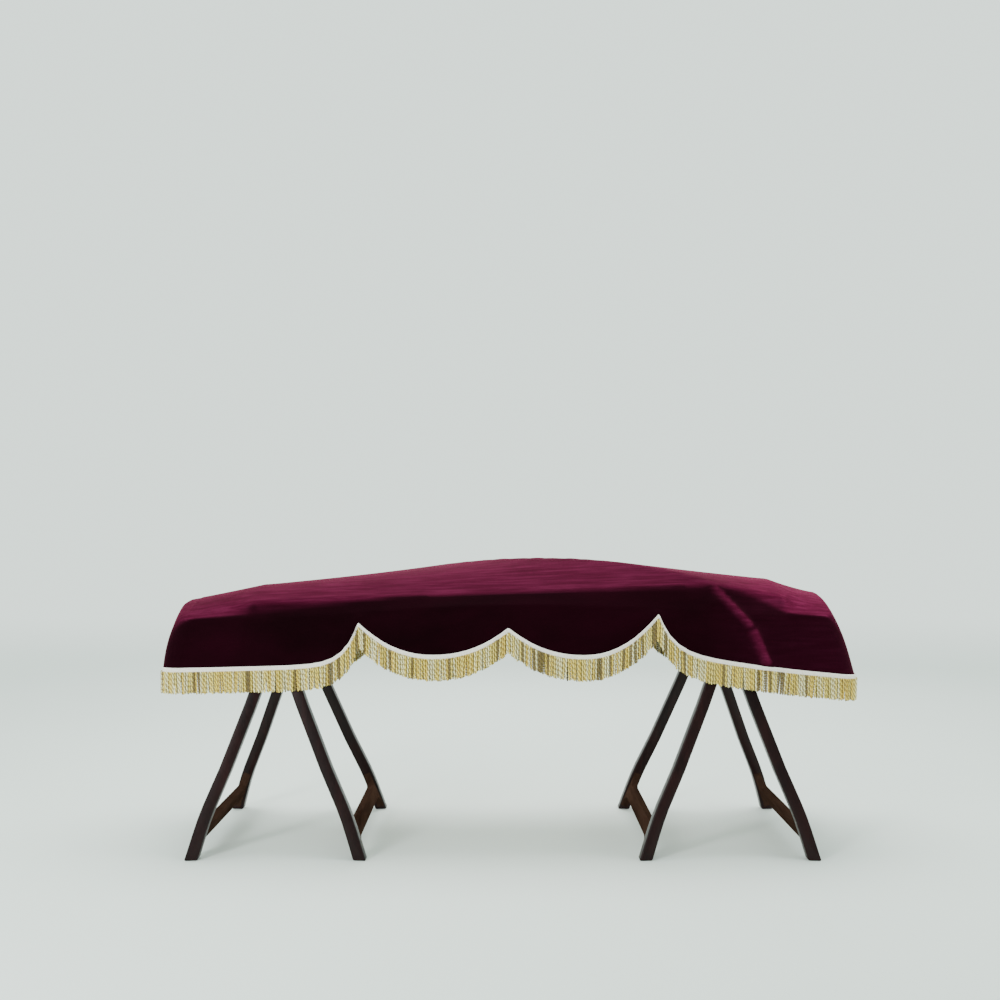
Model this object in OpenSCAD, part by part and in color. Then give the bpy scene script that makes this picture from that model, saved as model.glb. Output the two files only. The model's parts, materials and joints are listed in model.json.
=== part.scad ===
// Guzheng (21-string Chinese zither) under a fringed velvet dust cover, on two folding
// A-frame stands. +X points to the instrument's head, -Y to the player, +Z up.
// The origin is on the floor below the middle of the cover.

/* [Instrument body] */
// Length of the body
body_len = 1630; // [1500:10:1700]
// Half the body's width at its middle
half_w = 172; // [160:1:185]
// How much wider the head end is than the middle, each side
taper = 6; // [0:0.5:10]
// Height of the underside above the floor at both ends
body_z = 545; // [480:1:640]
// How far the underside arches up in the middle
base_rise = 25; // [0:1:40]
// Height of the top's crown line above the underside at the tail end
tail_crown = 97; // [85:1:115]
// How far the crown line rises from the tail end to its highest point
crown_rise = 48; // [20:1:60]
// Radius of the top's arch across the body
arch_r = 310; // [250:5:450]
// Thickness of the soundboard and the other top plates
board_t = 8; // [6:0.5:11]
// Thickness of the side boards
side_t = 10; // [8:0.5:14]
// Thickness of the back board
back_t = 6; // [4:0.5:9]
// Thickness of the two end boards
end_t = 14; // [10:1:20]
// Radius of each sound hole in the back board
sound_hole_r = 42; // [25:1:55]

/* [Strings] */
// Distance between neighbouring strings
pitch = 14.5; // [13:0.1:15]
// Distance from the tail end to the tail nut
tail_margin = 165; // [150:1:190]
// Distance from the head end to the head nut
head_margin = 125; // [115:1:150]
// Height of each nut above the soundboard
nut_h = 24; // [18:1:30]
// Width of each nut along the strings
nut_w = 16; // [12:1:20]
// Thickness of the bone strip on each nut
strip_t = 3; // [2:0.5:5]
// Diameter of a string
string_d = 1.4; // [1:0.1:2]
// Radius of a tuning pin
pin_r = 2.5; // [2:0.1:3.5]

/* [Movable bridges] */
// Head nut to the first bridge
first_bridge = 165; // [140:1:200]
// Spacing of the first two bridges
bridge_step = 31; // [29:0.5:34]
// How much each spacing is longer than the last
bridge_growth = 1.1; // [0.5:0.1:1.4]
// Height of the smallest bridge
bridge_h = 44; // [40:1:55]
// How much higher the largest bridge is
bridge_gain = 17; // [8:1:24]
// Thickness of a bridge along the string
bridge_t = 10; // [7:0.5:12]
// Distance from a bridge's middle to the outside of its foot
bridge_foot = 27; // [22:1:32]

/* [Stands] */
// Distance from the middle to the tail stand
tail_stand_x = 590; // [500:5:650]
// Distance from the middle to the head stand
head_stand_x = 562; // [500:1:650]
// Opening angle of each leg frame from upright
open_angle = 20.6; // [16:0.1:24]
// Angle by which the legs splay front to back
splay = 8.9; // [4:0.1:12]
// How far the legs' centre lines stand inside the body's sides, at the rails
leg_inset = 3; // [0:0.5:20]
// Width of a leg seen from the front
leg_t = 29; // [24:1:30]
// Width of a leg seen from the side
leg_w = 32; // [26:1:38]
// How far each leg's centre line stands off the folding plane
leg_offset = 19; // [18.5:0.5:24]
// Height of the rails
rail_h = 26; // [22:1:34]
// Width of each rail
rail_w = 38; // [36:1:46]
// Height of the stretchers above the floor
stretcher_z = 53; // [50:1:140]
// Depth of a stretcher at its middle
stretcher_h = 38; // [24:1:44]
// Thickness of a stretcher
stretcher_t = 20; // [14:1:24]
// Thickness of the felt pads
pad_t = 6; // [3:0.5:10]
// Radius of a hinge pin
hinge_pin_r = 2; // [1.5:0.1:3]

/* [Cover] */
// Thickness of the velvet with its lining
cloth_t = 3; // [2:0.5:4]
// Gap between the cloth and the strings
cloth_gap = 7; // [6:0.5:10]
// Gap between the fringe and the legs
leg_gap = 4; // [2:0.5:10]
// How far the end skirts stand out at the hem
end_flare = 58; // [30:1:80]
// Distance between the hem's points
scallop_w = 410; // [360:5:440]
// Height of the scallops' lowest line below the body's underside
scallop_drop = 34; // [20:1:50]
// Height of the braid
braid_h = 13; // [9:1:18]
// Length of the fringe below the braid
fringe_h = 58; // [40:1:75]

/* [Hidden] */
string_count = 21;
bridge_names = ["bridge_01", "bridge_02", "bridge_03", "bridge_04", "bridge_05", "bridge_06", "bridge_07",
                "bridge_08", "bridge_09", "bridge_10", "bridge_11", "bridge_12", "bridge_13", "bridge_14",
                "bridge_15", "bridge_16", "bridge_17", "bridge_18", "bridge_19", "bridge_20", "bridge_21"];

joint_gap = 0.2;    // between pieces glued to each other
arch_gap = 0.7;     // the same where an arched face, faceted at other stations, meets another
free_gap = 0.3;     // between pieces that move past each other
half_len = body_len / 2;
crown_x = 50;       // where the crown line is highest
tail_reach = 900;   // length of the crown line's fall towards the tail
head_reach = 1200;  // and towards the head
base_reach = 500;   // half the length of the underside's arch

// ---- Shapes of the body ----
function blend01(x, centre, reach) = pow(cos(90 * min(abs(x - centre) / reach, 1)), 2);
function half_width(x) = half_w + taper * x / half_len;
function crown(x) = body_z + tail_crown
    + crown_rise * blend01(x, crown_x, x < crown_x ? tail_reach : head_reach);
function top_z(x, y) = crown(x) - y * y / (2 * arch_r);
function base_z(x) = body_z + base_rise * blend01(x, 0, base_reach);
function steps(a, b, n) = [for (i = [0:n]) a + (b - a) * i / n];

// ---- Strings and bridges ----
tail_nut_x = -half_len + tail_margin;
head_nut_x = half_len - head_margin;
string_r = string_d / 2;
function string_y(n) = (n - (string_count - 1) / 2) * pitch;
function bridge_x(n) = head_nut_x - first_bridge - bridge_step * n - bridge_growth * n * (n - 1) / 2;
function bridge_height(n) = bridge_h + bridge_gain * sqrt(max(n, 0) / (string_count - 1));
function bridge_top(n) = top_z(bridge_x(n), string_y(n)) + bridge_height(n);
function nut_top(x, y) = top_z(x, y) + nut_h + strip_t + joint_gap;
// Height of a string at x: straight from nut to bridge to nut. n may lie between two strings.
function string_z(n, x) =
    let (y = string_y(n), xb = bridge_x(n), zb = bridge_top(n))
    x > xb ? lerp(zb, nut_top(head_nut_x, y), (x - xb) / (head_nut_x - xb))
           : lerp(zb, nut_top(tail_nut_x, y), (xb - x) / (xb - tail_nut_x));
function lerp(a, b, t) = a + (b - a) * t;
function string_edge() = string_y(string_count - 1) + 3;

guide_x = head_nut_x + nut_w / 2 + 14;      // the holes behind the head nut
lid_x = guide_x + 18;                       // where the string box opens
eyelet_x = tail_nut_x - nut_w / 2 - 20;     // the holes behind the tail nut
eyelet_r = 2.6;
eyelet_bore = 1.2;
plate_x = tail_nut_x - nut_w / 2 - 4;       // soundboard ends, tail plate starts
pin_rows = 3;
pin_top = body_z + 67;
pin_len = 50;
block_top = body_z + 51;
block_x = lid_x + 4;
block_len = half_len - end_t - joint_gap - block_x;
function pin_x(n) = block_x + block_len * (n % pin_rows + 0.5) / pin_rows;
strip_half = nut_w / 2 - 2;

// ---- A closed shell between two grids of points ----
// outer(i, j) and inner(i, j) give the points, for i in [0:ni] and j in [0:nj].
module shell(ni, nj, outer, inner) {
    m = nj + 1;
    layer = (ni + 1) * m;
    points = concat([for (i = [0:ni]) for (j = [0:nj]) outer(i, j)],
                    [for (i = [0:ni]) for (j = [0:nj]) inner(i, j)]);
    function a(i, j) = i * m + j;
    function b(i, j) = layer + i * m + j;
    function quad(p, q, r, s) = [[p, q, r], [p, r, s]];
    faces = concat(
        [for (i = [0:ni - 1]) for (j = [0:nj - 1])
            each quad(a(i, j), a(i, j + 1), a(i + 1, j + 1), a(i + 1, j))],
        [for (i = [0:ni - 1]) for (j = [0:nj - 1])
            each quad(b(i, j), b(i + 1, j), b(i + 1, j + 1), b(i, j + 1))],
        [for (i = [0:ni - 1]) each concat(
            quad(b(i, 0), a(i, 0), a(i + 1, 0), b(i + 1, 0)),
            quad(b(i, nj), b(i + 1, nj), a(i + 1, nj), a(i, nj)))],
        [for (j = [0:nj - 1]) each concat(
            quad(b(0, j + 1), a(0, j + 1), a(0, j), b(0, j)),
            quad(b(ni, j), a(ni, j), a(ni, j + 1), b(ni, j + 1)))]);
    polyhedron(points, faces);
}

// A plate under the arched top: lift is its height above the top's surface.
module top_plate(x0, x1, nx, y_of, lift, thick, ny = 10) {
    xs = steps(x0, x1, nx);
    ys = steps(-1, 1, ny);
    shell(nx, ny,
        function (i, j) let (x = xs[i], y = ys[j] * y_of(x)) [x, y, top_z(x, y) + lift],
        function (i, j) let (x = xs[i], y = ys[j] * y_of(x)) [x, y, top_z(x, y) + lift - thick]);
}

module string_holes(x, r) {
    for (n = [0:string_count - 1])
        translate([x, string_y(n), top_z(x, string_y(n)) - 2 * board_t])
            cylinder(r = r, h = 4 * board_t, $fn = 24);
}

// ---- Instrument ----
module soundboard() {
    color("burlywood")
        top_plate(plate_x + joint_gap, guide_x - 8, 24, function (x) half_width(x), 0, board_t);
}

module tail_plate() {
    color("#4a1f1a") difference() {
        top_plate(-half_len + end_t + joint_gap, plate_x, 4, function (x) half_width(x), 0, board_t);
        string_holes(eyelet_x, eyelet_r + 0.05);
    }
}

module string_guide_plate() {
    color("#4a1f1a") difference() {
        top_plate(guide_x - 8 + joint_gap, lid_x - joint_gap, 2, function (x) half_width(x), 0, board_t);
        string_holes(guide_x, eyelet_r + 0.05);
    }
}

module string_box_lid() {
    color("#4a1f1a")
        top_plate(lid_x + free_gap, half_len - end_t - free_gap, 3,
                  function (x) half_width(x) - side_t - 2 * free_gap, 0, board_t);
}

module side_boards() {
    xs = concat(steps(-half_len + end_t + joint_gap, lid_x - joint_gap, 22),
                steps(lid_x, half_len - end_t - joint_gap, 4));
    nx = len(xs) - 1;
    // Along the string box the sides come up to the top's own surface, beside the lid.
    function side_top(x, y) = x < lid_x ? top_z(x, y) - board_t - arch_gap : top_z(x, half_width(x));
    function side_y(x, s, j) = half_width(x) - (s * (2 * j - 1) > 0 ? 0 : side_t);
    color("#3d1512") for (s = [-1, 1])
        shell(nx, 1,
            function (i, j) [xs[i], s * side_y(xs[i], s, j), side_top(xs[i], side_y(xs[i], s, j))],
            function (i, j) [xs[i], s * side_y(xs[i], s, j), base_z(xs[i])]);
}

module back_board() {
    nx = 16;
    xs = steps(-half_len + end_t + joint_gap, half_len - end_t - joint_gap, nx);
    function inside_y(x, j) = (2 * j - 1) * (half_width(x) - side_t - joint_gap);
    color("burlywood") difference() {
        shell(nx, 1,
            function (i, j) [xs[i], inside_y(xs[i], j), base_z(xs[i]) + back_t],
            function (i, j) [xs[i], inside_y(xs[i], j), base_z(xs[i])]);
        for (x = [-0.45, 0.45])
            translate([x * half_len, 0, body_z - 1])
                cylinder(r = sound_hole_r, h = base_rise + 3 * back_t, $fn = 64);
    }
}

module end_board(x0, x1) {
    ys = steps(-1, 1, 10);
    xs = [x0, x1];
    shell(1, 10,
        function (i, j) let (y = ys[j] * half_width(xs[i])) [xs[i], y, top_z(xs[i], y)],
        function (i, j) [xs[i], ys[j] * half_width(xs[i]), body_z]);
}

module head_end_board() {
    color("#3d1512") end_board(half_len - end_t, half_len);
}

module tail_end_board() {
    color("#3d1512") end_board(-half_len, -half_len + end_t);
}

module inner_ribs() {
    rib_t = 10;
    ys = steps(-1, 1, 10);
    color("tan") for (x = [-400, -50, 200, 560]) {
        w = half_width(x) - side_t - 1;
        xs = [x - rib_t / 2, x + rib_t / 2];
        shell(1, 10,
            function (i, j) let (y = ys[j] * w) [xs[i], y, top_z(x, y) - board_t - 1],
            function (i, j) let (y = ys[j] * w) [xs[i], y, base_z(x) + (abs(y) < 60 ? 3 : 1) * back_t + 2]);
    }
}

module nut(x) {
    reach = string_edge() + 3;
    color("#4a1f1a")
        top_plate(x - nut_w / 2, x + nut_w / 2, 1, function (x) reach, nut_h, nut_h - arch_gap);
}

module head_nut() nut(head_nut_x);

module tail_nut() nut(tail_nut_x);

module nut_strips() {
    reach = string_edge() + 3;
    color("ivory") for (x = [head_nut_x, tail_nut_x])
        top_plate(x - strip_half, x + strip_half, 1, function (x) reach,
                  nut_h + strip_t + joint_gap, strip_t);
}

module pin_block() {
    reach = string_edge() + 6;
    block_z = body_z + back_t + joint_gap;
    color("peru") difference() {
        translate([block_x, -reach, block_z]) cube([block_len, 2 * reach, block_top - block_z]);
        for (n = [0:string_count - 1])
            translate([pin_x(n), string_y(n), pin_top - pin_len])
                cylinder(r = pin_r + 0.1, h = pin_len, $fn = 24);
    }
}

module tuning_pins() {
    square_h = 8;   // the flats that the tuning key turns
    color("silver") for (n = [0:string_count - 1])
        translate([pin_x(n), string_y(n), pin_top - pin_len + 0.2]) {
            cylinder(r = pin_r, h = pin_len - 0.2 - square_h, $fn = 24);
            translate([0, 0, pin_len - 0.2 - square_h]) cylinder(r = pin_r, h = square_h, $fn = 4);
        }
}

// The points that string n runs through, from its tuning pin to the tail plate.
function string_path(n) =
    let (y = string_y(n), r = string_r + 0.2, w = strip_half, b = bridge_t / 2 + 0.5,
         head_top = nut_top(head_nut_x, y) + r, tail_top = nut_top(tail_nut_x, y) + r)
    [[pin_x(n) - pin_r - r - 0.2, y, pin_top - 12],
     [guide_x, y, top_z(guide_x, y) - board_t - 1],
     [guide_x, y, top_z(guide_x, y) + 1],
     [head_nut_x + w + 1, y, head_top],
     [head_nut_x - w - 1, y, head_top],
     [bridge_x(n) + b, y, bridge_top(n) + r],
     [bridge_x(n) - b, y, bridge_top(n) + r],
     [tail_nut_x + w + 1, y, tail_top],
     [tail_nut_x - w - 1, y, tail_top],
     [eyelet_x, y, top_z(eyelet_x, y) + 1],
     [eyelet_x, y, top_z(eyelet_x, y) - board_t - 6]];

// A tube in a plane of constant y along a path, with sides around and a mitre at each bend.
module flat_sweep(path, r, sides = 6) {
    last = len(path) - 1;
    function unit(v) = v / norm(v);
    function way(i) = unit(path[min(i + 1, last)] - path[max(i - 1, 0)]);
    points = [for (i = [0:last]) for (k = [0:sides - 1])
        let (t = way(i), n = [-t.z, 0, t.x], a = 360 * k / sides)
        path[i] + r * (cos(a) * n + sin(a) * [0, 1, 0])];
    faces = concat(
        [[for (k = [0:sides - 1]) k]],
        [for (i = [0:last - 1]) for (k = [0:sides - 1])
            let (p = i * sides + k, q = i * sides + (k + 1) % sides) each
            [[p, p + sides, q + sides], [p, q + sides, q]]],
        [[for (k = [sides - 1:-1:0]) last * sides + k]]);
    polyhedron(points, faces);
}

module strings() {
    color("whitesmoke") for (n = [0:string_count - 1]) flat_sweep(string_path(n), string_r);
}

module string_eyelets() {
    color("gold") for (x = [eyelet_x, guide_x]) for (n = [0:string_count - 1]) {
        y = string_y(n);
        translate([x, y, top_z(x, y) - board_t / 2]) difference() {
            cylinder(r = eyelet_r, h = board_t / 2 - 0.5, $fn = 24);
            translate([0, 0, -1]) cylinder(r = eyelet_bore, h = board_t, $fn = 24);
        }
    }
}

// A bridge straddles its string on two feet cut to the soundboard's arch. The soundboard
// falls away by up to foot_gap over a foot's thickness and the bridge's travel.
foot_gap = 0.9;
module movable_bridge(n) {
    y0 = string_y(n);
    x = bridge_x(n);
    h = bridge_height(n);
    waist = 3.2;        // half the width at the string
    foot = 9;           // width of a foot
    function floor_z(y) = top_z(x, y) + free_gap + foot_gap;
    arch = [for (a = [0:20:180])
        let (y = y0 + (bridge_foot - foot) * cos(a)) [y, floor_z(y) + 0.5 * h * sin(a) + 3]];
    // One half's outside, from the string down to the foot's inner corner; s is its side.
    function half(s) = [[y0 + s * waist, bridge_top(n)],
        [y0 + s * (waist + 1), floor_z(y0) + 0.72 * h],
        [y0 + s * 0.62 * bridge_foot, floor_z(y0 + s * 0.62 * bridge_foot) + 0.4 * h],
        [y0 + s * bridge_foot, floor_z(y0 + s * bridge_foot) + 8],
        [y0 + s * bridge_foot, floor_z(y0 + s * bridge_foot)],
        [y0 + s * (bridge_foot - foot), floor_z(y0 + s * (bridge_foot - foot))]];
    outline = concat(half(-1), [for (i = [len(arch) - 1:-1:0]) arch[i]],
                     [for (i = [5:-1:0]) half(1)[i]]);
    color("#2c120e") translate([x - bridge_t / 2, 0, 0])
        rotate([90, 0, 90]) linear_extrude(bridge_t) polygon(outline);
}

// ---- Stands ----
pad_top = body_z - free_gap;
rail_top = pad_top - pad_t;
pivot_z = rail_top - rail_h;
leg_len = pivot_z / cos(open_angle) / cos(splay) + 40;
leg_y = half_width(-tail_stand_x) - leg_inset;  // a leg's centre line at the rails
hinge_y = 80;           // each hinge's distance from the rail's middle
hinge_len = 40;
knuckle_r = 5;
leaf_t = 2;
bow_top = 2;            // the legs' slight S: in above, out below
bow_foot = 6;

// Distance of a leg's centre line from the folding plane, w below the pivot.
function leg_u(w) = leg_offset + (w < leg_len / 2 ? -bow_top : bow_foot) * pow(sin(360 * w / leg_len), 2);
function leg_half(w) = leg_t / 2 + 1.5 * pow(w / leg_len, 3);

// One leg, upright and folded flat: its outline in x and z, its width along y.
module leg_blank() {
    ws = steps(-30, leg_len, 18);
    outline = concat([for (w = ws) [leg_u(max(w, 0)) + leg_half(w), -w]],
                     [for (i = [len(ws) - 1:-1:0]) [leg_u(max(ws[i], 0)) - leg_half(ws[i]), -ws[i]]]);
    rotate([90, 0, 0]) translate([0, 0, -leg_w / 2]) linear_extrude(leg_w) polygon(outline);
}

// Places a folded frame of the stand: opened about the pivot, on the side s.
module opened(stand_x, s) {
    translate([stand_x, 0, pivot_z]) mirror([s < 0 ? 1 : 0, 0, 0]) rotate([0, -open_angle, 0]) children();
}

module frame_legs(stand_x, s) {
    color("#2d1013") intersection() {
        opened(stand_x, s) for (side = [-1, 1])
            translate([0, side * leg_y, 0]) rotate([side * splay, 0, 0]) leg_blank();
        translate([stand_x - 400, -400, 0]) cube([800, 800, pivot_z]);
    }
}

// The stretcher fills the space between the legs, with flared ends that follow them.
module frame_stretcher(stand_x, s) {
    w0 = (pivot_z - stretcher_z) / cos(open_angle);
    half = stretcher_h / 2;
    flare = 36;
    function inner_v(w) = leg_y + w * tan(splay) - leg_w / 2 / cos(splay) - 0.05;
    // One end's flare, as a quarter curve from the bar's edge to the leg: k is -1 above, 1 below.
    function flare_points(k) = [for (a = [0:15:90])
        let (w = w0 + k * (half + flare * (1 - cos(a)))) [inner_v(w) - flare * (1 - sin(a)), w]];
    end = concat(flare_points(-1), [for (i = [6:-1:0]) flare_points(1)[i]]);
    outline = concat([for (p = end) [p.x, -p.y]], [for (i = [len(end) - 1:-1:0]) [-end[i].x, -end[i].y]]);
    color("#35161a") opened(stand_x, s)
        translate([leg_u(w0) - stretcher_t / 2, 0, 0])
            rotate([90, 0, 90]) linear_extrude(stretcher_t) polygon(outline);
}

// The rails' vertical faces meet above the pivot, which stops the frames from opening further.
module frame_rail(stand_x, s) {
    reach = leg_y + leg_w / 2 - 3;
    color("#2d1013") difference() {
        translate([stand_x + (s > 0 ? free_gap : -free_gap - rail_w), -reach, pivot_z])
            cube([rail_w, 2 * reach, rail_h]);
        for (side = [-1, 1])
            translate([stand_x, side * hinge_y, pivot_z]) rotate([90, 0, 0])
                cylinder(r = knuckle_r + 0.5, h = hinge_len + 2, center = true, $fn = 48);
    }
}

module frame_pad(stand_x, s) {
    reach = leg_y + leg_w / 2 - 8;
    color("black") translate([stand_x + (s > 0 ? 3 : -rail_w + 1), -reach, rail_top])
        cube([rail_w - 4, 2 * reach, pad_t]);
}

module barrel(y0, y1) {
    rotate([-90, 0, 0]) translate([0, 0, y0]) difference() {
        cylinder(r = knuckle_r, h = y1 - y0, $fn = 48);
        translate([0, 0, -1]) cylinder(r = hinge_pin_r + 0.05, h = y1 - y0 + 2, $fn = 48);
    }
}

module leaf(s, y0, y1) {
    difference() {
        translate([s > 0 ? knuckle_r - 1.5 : -rail_w + 3, y0, -leaf_t])
            cube([rail_w - 1.5 - knuckle_r, y1 - y0, leaf_t]);
        rotate([90, 0, 0]) cylinder(r = hinge_pin_r + 0.05, h = 2 * hinge_len, center = true, $fn = 48);
    }
}

// The fixed half of both hinges: a leaf with two knuckles, and the pin.
module fixed_hinge(stand_x, s) {
    h = hinge_len / 2;
    third = hinge_len / 6;
    color("darkgoldenrod") for (side = [-1, 1]) translate([stand_x, side * hinge_y, pivot_z]) {
        difference() {
            union() {
                barrel(-h, -third);
                barrel(third, h);
                leaf(s, -h, h);
            }
            translate([-knuckle_r - 1, -third, -knuckle_r - 1])
                cube([2 * knuckle_r + 2, 2 * third, 2 * knuckle_r + 2]);
        }
        rotate([90, 0, 0]) cylinder(r = hinge_pin_r, h = hinge_len, center = true, $fn = 48);
    }
}

// The moving half: a leaf with the middle knuckle.
module moving_hinge(stand_x, s) {
    third = hinge_len / 6 - free_gap;
    color("goldenrod") for (side = [-1, 1]) translate([stand_x, side * hinge_y, pivot_z]) {
        barrel(-third, third);
        difference() {
            leaf(s, -hinge_len / 2, hinge_len / 2);
            for (k = [-1, 1]) translate([-knuckle_r - 1, k > 0 ? third : -hinge_len, -knuckle_r - 1])
                cube([2 * knuckle_r + 2, hinge_len - third, 2 * knuckle_r + 2]);
            rotate([90, 0, 0]) cylinder(r = knuckle_r - 0.5, h = 2 * third, center = true, $fn = 48);
        }
    }
}

// ---- Cover ----
edge_gap = 5;           // between the body's edge and the cloth
end_x = half_len + edge_gap;
tail_hem_z = body_z - 70;
head_hem_z = body_z - 92;

// Height of the cloth's underside over the point x, y of the body.
function over_strings(x, y) =
    let (n = y / pitch + (string_count - 1) / 2)
    x < tail_nut_x ? lerp(nut_top(tail_nut_x, y), top_z(x, y), min((tail_nut_x - x) / 60, 1))
    : x > head_nut_x ? lerp(nut_top(head_nut_x, y), top_z(x, y), min((x - head_nut_x) / 60, 1))
    : string_z(n, x);
function cloth_z(x, y) =
    let (a = abs(y), s = y < 0 ? -1 : 1, edge = half_width(x) + edge_gap, shoulder = string_edge() + 4,
         xc = max(min(x, half_len), -half_len))
    cloth_gap + string_d + (a <= shoulder ? over_strings(xc, s * min(a, string_edge()))
        : lerp(over_strings(xc, s * string_edge()), top_z(xc, half_width(xc)),
               (a - shoulder) / (edge - shoulder)));

// The hem's height at x: two scallops between three points, then a long fall to each end.
hem_points = [body_z + 47, body_z + 34, body_z + 70];
trough_z = body_z - scallop_drop;
function hem_z(x) =
    abs(x) < scallop_w
        ? let (t = abs(x) / scallop_w, k = t < 0.5 ? 1 : x < 0 ? 0 : 2)
          trough_z + (hem_points[k] - trough_z) * pow(abs(2 * t - 1), 2.2)
        : let (d = abs(x) - scallop_w, far = x < 0 ? tail_hem_z : head_hem_z,
               fall = x < 0 ? 0.03 : 0.155, near = far + fall * (end_x + 50 - scallop_w))
          near - fall * d + (hem_points[x < 0 ? 0 : 2] - near) * exp(-d / 38);

// The skirts lean out as far as the fringe needs to hang clear of the legs, in front of which
// it ends at the height low_z.
function edge_z(x) = cloth_z(x, half_width(x) + edge_gap);
function low_z(x) = hem_z(x) - braid_h - fringe_h;
function lean(x) =
    let (leg = leg_y + leg_w / 2 / cos(splay) + (pivot_z - low_z(x)) / cos(open_angle) * tan(splay))
    (leg + leg_gap - half_width(x) - edge_gap) / (edge_z(x) - hem_z(x) + braid_h / 2);
skirt_slope = max(lean(-tail_stand_x - 60), lean(head_stand_x + 60), 0.12);
function end_slope(x) = end_flare / (edge_z(x < 0 ? -end_x : end_x) - hem_z(x < 0 ? -end_x : end_x));
function skirt_y(x, z) = half_width(x) + edge_gap + skirt_slope * (edge_z(x) - z);
function skirt_x(x, z) = x + (abs(x) > 500 ? (x < 0 ? -1 : 1) * end_slope(x) * (edge_z(x) - z)
    * pow((abs(x) - 500) / (end_x - 500), 2) : 0);

cloth_y = [-1, -0.93, -0.86, -0.76, -0.65, -0.52, -0.39, -0.26, -0.13, 0,
           0.13, 0.26, 0.39, 0.52, 0.65, 0.76, 0.86, 0.93, 1];
skirt_rows = 3;
cloth_nj = len(cloth_y) - 1 + 2 * skirt_rows;
// Stations along the cover, closer together at the scallops, with one at each of the hem's points
// and one over each nut.
function beyond(nut_x, i) =
    i < 9 ? scallop_w + (nut_x - scallop_w) * pow(i / 9, 1.5) : lerp(nut_x, end_x, (i - 9) / 4);
cloth_xs = concat([for (i = [13:-1:0]) -beyond(-tail_nut_x, i)], [for (i = [1:35]) scallop_w * (i / 18 - 1)],
                  [for (i = [0:13]) beyond(head_nut_x, i)]);
cloth_nx = len(cloth_xs) - 1;

// Point of the cloth at station x and row j, pushed out by t.
function cloth_point(x, j, t) =
    let (top_row = j - skirt_rows, last = len(cloth_y) - 1)
    top_row < 0 ? skirt_point(x, -1, -top_row / skirt_rows, t)
    : top_row > last ? skirt_point(x, 1, (top_row - last) / skirt_rows, t)
    : let (k = cloth_y[top_row], y = k * (half_width(x) + edge_gap)) [x, y + k * t, cloth_z(x, y) + t];
function skirt_point(x, s, f, t) =
    let (z = lerp(edge_z(x), hem_z(x) - braid_h / 2, f))
    [skirt_x(x, z), s * (skirt_y(x, z) + t), z + t * (1 - f)];

// The end panel's point: k across from front to back, f down from the top edge to the hem.
function end_point(s, k, f, t, z_low) =
    let (x = s * end_x, y = cloth_y[k] * (half_width(x) + edge_gap),
         z0 = cloth_z(x, y), z = lerp(z0, z_low, f), e = edge_z(x),
         grow = (skirt_y(x, min(z, e)) + cloth_t) / (half_width(x) + edge_gap))
    [s * (end_x + joint_gap + t + end_slope(x) * max(e - z, 0)),
     cloth_y[k] * (half_width(x) + edge_gap) * grow, z + (f == 0 ? cloth_t : 0)];

module cover_cloth() {
    color("#4d0a24") {
        shell(cloth_nx, cloth_nj,
            function (i, j) cloth_point(cloth_xs[i], j, cloth_t),
            function (i, j) cloth_point(cloth_xs[i], j, 0));
        for (s = [-1, 1])
            shell(3, len(cloth_y) - 1,
                function (i, k) end_point(s, k, i / 3, s > 0 ? cloth_t : 0, hem_z(s * end_x) - braid_h / 2),
                function (i, k) end_point(s, k, i / 3, s > 0 ? 0 : cloth_t, hem_z(s * end_x) - braid_h / 2));
    }
}

// A band that hangs straight down along the hem, from a to b below the hem's line, and from t0
// to t1 outside the cloth's inner surface.
module hem_band(a, b, t0, t1) {
    function low(x) = hem_z(x) - braid_h / 2;
    function side(x, s, j, t) =
        [skirt_x(x, low(x)), s * (skirt_y(x, low(x)) + t), hem_z(x) - (j == 0 ? b : a)];
    function end(s, k, j, t) =
        let (x = s * end_x, p = end_point(s, k, 1, t, low(x))) [p.x, p.y, hem_z(x) - (j == 0 ? b : a)];
    for (s = [-1, 1]) {
        shell(cloth_nx, 1,
            function (i, j) side(cloth_xs[i], s, j, s < 0 ? t1 : t0),
            function (i, j) side(cloth_xs[i], s, j, s < 0 ? t0 : t1));
        shell(len(cloth_y) - 1, 1,
            function (k, j) end(s, k, j, s > 0 ? t1 : t0),
            function (k, j) end(s, k, j, s > 0 ? t0 : t1));
    }
}

module cover_braid() {
    color("ivory") hem_band(0, braid_h, cloth_t + joint_gap, cloth_t + joint_gap + 1.5);
}

module cover_fringe() {
    color("khaki") hem_band(braid_h + joint_gap, braid_h + fringe_h, 0, 4);
}

soundboard();
back_board();
side_boards();
head_end_board();
tail_end_board();
inner_ribs();
head_nut();
tail_nut();
nut_strips();
pin_block();
tuning_pins();
strings();
string_eyelets();
tail_plate();
string_guide_plate();
string_box_lid();
for (n = [0:string_count - 1])
    movable_bridge(n);
frame_legs(head_stand_x, -1);  // head_inner_legs
frame_stretcher(head_stand_x, -1);  // head_inner_stretcher
frame_rail(head_stand_x, -1);  // head_inner_rail
frame_pad(head_stand_x, -1);  // head_inner_pad
fixed_hinge(head_stand_x, -1);  // head_inner_hinge
frame_legs(head_stand_x, 1);  // head_outer_legs
frame_stretcher(head_stand_x, 1);  // head_outer_stretcher
frame_rail(head_stand_x, 1);  // head_outer_rail
frame_pad(head_stand_x, 1);  // head_outer_pad
moving_hinge(head_stand_x, 1);  // head_outer_hinge
frame_legs(-tail_stand_x, 1);  // tail_inner_legs
frame_stretcher(-tail_stand_x, 1);  // tail_inner_stretcher
frame_rail(-tail_stand_x, 1);  // tail_inner_rail
frame_pad(-tail_stand_x, 1);  // tail_inner_pad
fixed_hinge(-tail_stand_x, 1);  // tail_inner_hinge
frame_legs(-tail_stand_x, -1);  // tail_outer_legs
frame_stretcher(-tail_stand_x, -1);  // tail_outer_stretcher
frame_rail(-tail_stand_x, -1);  // tail_outer_rail
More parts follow.
